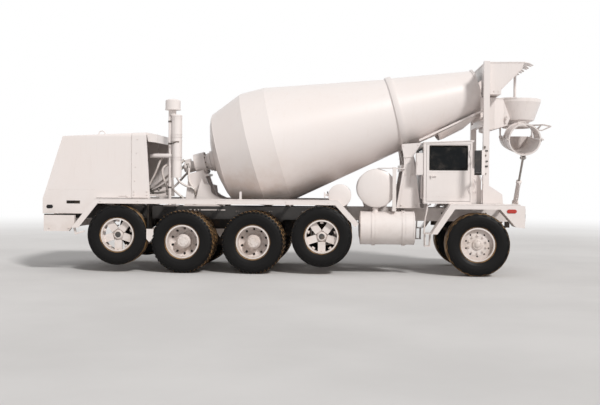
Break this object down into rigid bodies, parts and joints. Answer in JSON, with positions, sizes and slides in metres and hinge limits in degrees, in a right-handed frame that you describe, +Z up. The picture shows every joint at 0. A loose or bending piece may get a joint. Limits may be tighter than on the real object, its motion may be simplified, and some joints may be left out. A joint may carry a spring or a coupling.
{
  "type": "front-discharge concrete mixer truck",
  "caption": "Concrete mixer truck that discharges over its cab: inclined mixing drum, charge hopper, swinging folding chute, rear engine, raised extra axles and twin driven wheels",
  "frame": {"origin": "on the ground under the middle of the vehicle's box", "axes": "+X to the front where the chute is, +Y to the vehicle's left, +Z up"},
  "size_m": [9.2355, 2.7698, 3.832],
  "materials": {
    "paint": "worn white paint",
    "dark_steel": "dusty dark paint",
    "bare_steel": "worn steel",
    "tyre": "dusty rubber",
    "wheel_paint": "white paint",
    "glass": "dark glass",
    "black_plastic": "matte",
    "hose": "matte",
    "lens": "clear red"
  },
  "bodies": {
    "chassis": {"frame": "paint", "rear_bumper": "paint", "engine_block": "dark_steel", "cowl": "paint", "rear_fenders": "paint", "front_fenders": "paint", "cab_shell": "paint", "cab_glass": "glass", "seat": "black_plastic", "dash": "black_plastic", "mast": "paint", "charge_hopper": "paint", "collector": "paint", "drip_shield": "paint", "pedestals": "paint", "drum_drive": "dark_steel", "hoses": "hose", "stacks": "paint", "tanks": "paint", "beam_axles": "dark_steel", "drive_train": "dark_steel", "lamps": "lens"},
    "hood": {"hood": "paint", "grille": "black_plastic"},
    "door_right": {"door_right": "paint", "door_glass_right": "glass"},
    "door_left": {"door_left": "paint", "door_glass_left": "glass"},
    "drum": {"drum_shell": "paint", "drum_cone": "paint", "drum_blades": "bare_steel"},
    "roller_right": {"roller_right": "bare_steel"},
    "roller_left": {"roller_left": "bare_steel"},
    "knuckle_right": {"knuckle_right": "dark_steel"},
    "knuckle_left": {"knuckle_left": "dark_steel"},
    "chute_swing": {"chute_pivot": "paint"},
    "chute": {"chute_main": "paint"},
    "chute_tip": {"chute_fold": "paint"},
    "lift_barrel": {"lift_barrel": "paint"},
    "lift_rod": {"lift_rod": "bare_steel"},
    "wheel_front_right": {"tyre_front_right": "tyre", "wheel_front_right": "wheel_paint"},
    "wheel_front_left": {"tyre_front_left": "tyre", "wheel_front_left": "wheel_paint"},
    "wheel_drive_1_right": {"tyre_drive_1_right": "tyre", "wheel_drive_1_right": "wheel_paint"},
    "wheel_drive_1_left": {"tyre_drive_1_left": "tyre", "wheel_drive_1_left": "wheel_paint"},
    "wheel_drive_2_right": {"tyre_drive_2_right": "tyre", "wheel_drive_2_right": "wheel_paint"},
    "wheel_drive_2_left": {"tyre_drive_2_left": "tyre", "wheel_drive_2_left": "wheel_paint"},
    "wheel_pusher_right": {"tyre_pusher_right": "tyre", "wheel_pusher_right": "wheel_paint"},
    "wheel_pusher_left": {"tyre_pusher_left": "tyre", "wheel_pusher_left": "wheel_paint"},
    "wheel_tag_right": {"tyre_tag_right": "tyre", "wheel_tag_right": "wheel_paint"},
    "wheel_tag_left": {"tyre_tag_left": "tyre", "wheel_tag_left": "wheel_paint"}
  },
  "joints": [
    {"name": "hood_tilt", "type": "hinge", "parent": "chassis", "child": "hood", "pos_m": [-4.59, 0, 1.037], "axis": [0, -1, 0], "range_deg": [0, 50]},
    {"name": "door_right_hinge", "type": "hinge", "parent": "chassis", "child": "door_right", "pos_m": [3.097, -0.962, 1.83], "axis": [0, 0, 1], "range_deg": [0, 65]},
    {"name": "door_left_hinge", "type": "hinge", "parent": "chassis", "child": "door_left", "pos_m": [3.097, 0.962, 1.83], "axis": [0, 0, -1], "range_deg": [0, 65]},
    {"name": "drum_spin", "type": "hinge", "parent": "chassis", "child": "drum", "pos_m": [-0.91, 0, 2.24], "axis": [0.9677, 0, 0.2521], "continuous": true},
    {"name": "roller_right_spin", "type": "hinge", "parent": "chassis", "child": "roller_right", "pos_m": [2.01843, -0.45854, 2.2445], "axis": [0.9677, 0, 0.2521], "continuous": true},
    {"name": "roller_left_spin", "type": "hinge", "parent": "chassis", "child": "roller_left", "pos_m": [2.01843, 0.45854, 2.2445], "axis": [0.9677, 0, 0.2521], "continuous": true},
    {"name": "steer_left", "type": "hinge", "parent": "chassis", "child": "knuckle_left", "pos_m": [3.22, 0.78, 0.562], "axis": [0, 0, 1], "range_deg": [-30, 30]},
    {"name": "steer_right", "type": "hinge", "parent": "chassis", "child": "knuckle_right", "pos_m": [3.22, -0.78, 0.562], "axis": [0, 0, 1], "range_deg": [-30, 30]},
    {"name": "chute_swing", "type": "hinge", "parent": "chassis", "child": "chute_swing", "pos_m": [4.08, 0, 2.7], "axis": [0, 0, 1], "range_deg": [0, 140]},
    {"name": "chute_lift", "type": "hinge", "parent": "chute_swing", "child": "chute", "pos_m": [4.08, 0, 2.526], "axis": [-0.9997, 0.0262, 0], "range_deg": [-18, 8]},
    {"name": "chute_fold", "type": "hinge", "parent": "chute", "child": "chute_tip", "pos_m": [4.05481, -0.96187, 2.42487], "axis": [0.9997, -0.0262, 0], "range_deg": [0, 180]},
    {"name": "barrel_tilt", "type": "hinge", "parent": "chute_swing", "child": "lift_barrel", "pos_m": [4.08, 0, 1.29], "axis": [-0.9997, 0.0262, 0], "range_deg": [-10, 10]},
    {"name": "rod_slide", "type": "slide", "parent": "lift_barrel", "child": "lift_rod", "axis": [-0.0182, -0.6955, 0.7183], "range_m": [-0.28, 0.13]},
    {"name": "front_right_spin", "type": "hinge", "parent": "knuckle_right", "child": "wheel_front_right", "pos_m": [3.22, -1.005, 0.562], "axis": [0, 1, 0], "continuous": true},
    {"name": "front_left_spin", "type": "hinge", "parent": "knuckle_left", "child": "wheel_front_left", "pos_m": [3.22, 1.005, 0.562], "axis": [0, 1, 0], "continuous": true},
    {"name": "drive_1_right_spin", "type": "hinge", "parent": "chassis", "child": "wheel_drive_1_right", "pos_m": [-0.76, -0.9, 0.565], "axis": [0, 1, 0], "continuous": true},
    {"name": "drive_1_left_spin", "type": "hinge", "parent": "chassis", "child": "wheel_drive_1_left", "pos_m": [-0.76, 0.9, 0.565], "axis": [0, 1, 0], "continuous": true},
    {"name": "drive_2_right_spin", "type": "hinge", "parent": "chassis", "child": "wheel_drive_2_right", "pos_m": [-2.03, -0.9, 0.565], "axis": [0, 1, 0], "continuous": true},
    {"name": "drive_2_left_spin", "type": "hinge", "parent": "chassis", "child": "wheel_drive_2_left", "pos_m": [-2.03, 0.9, 0.565], "axis": [0, 1, 0], "continuous": true},
    {"name": "pusher_right_spin", "type": "hinge", "parent": "chassis", "child": "wheel_pusher_right", "pos_m": [0.47, -1.075, 0.677], "axis": [0, 1, 0], "continuous": true},
    {"name": "pusher_left_spin", "type": "hinge", "parent": "chassis", "child": "wheel_pusher_left", "pos_m": [0.47, 1.075, 0.677], "axis": [0, 1, 0], "continuous": true},
    {"name": "tag_right_spin", "type": "hinge", "parent": "chassis", "child": "wheel_tag_right", "pos_m": [-3.21, -1.075, 0.677], "axis": [0, 1, 0], "continuous": true},
    {"name": "tag_left_spin", "type": "hinge", "parent": "chassis", "child": "wheel_tag_left", "pos_m": [-3.21, 1.075, 0.677], "axis": [0, 1, 0], "continuous": true}
  ],
  "couplings": [
    {"joint": "roller_right_spin", "follows": "drum_spin", "ratio": -4.7667},
    {"joint": "roller_left_spin", "follows": "drum_spin", "ratio": -4.7667},
    {"joint": "steer_right", "follows": "steer_left", "ratio": 1},
    {"joint": "barrel_tilt", "follows": "chute_lift", "ratio": 0.175},
    {"joint": "rod_slide", "follows": "chute_lift", "m_per_rad": 0.873}
  ]
}
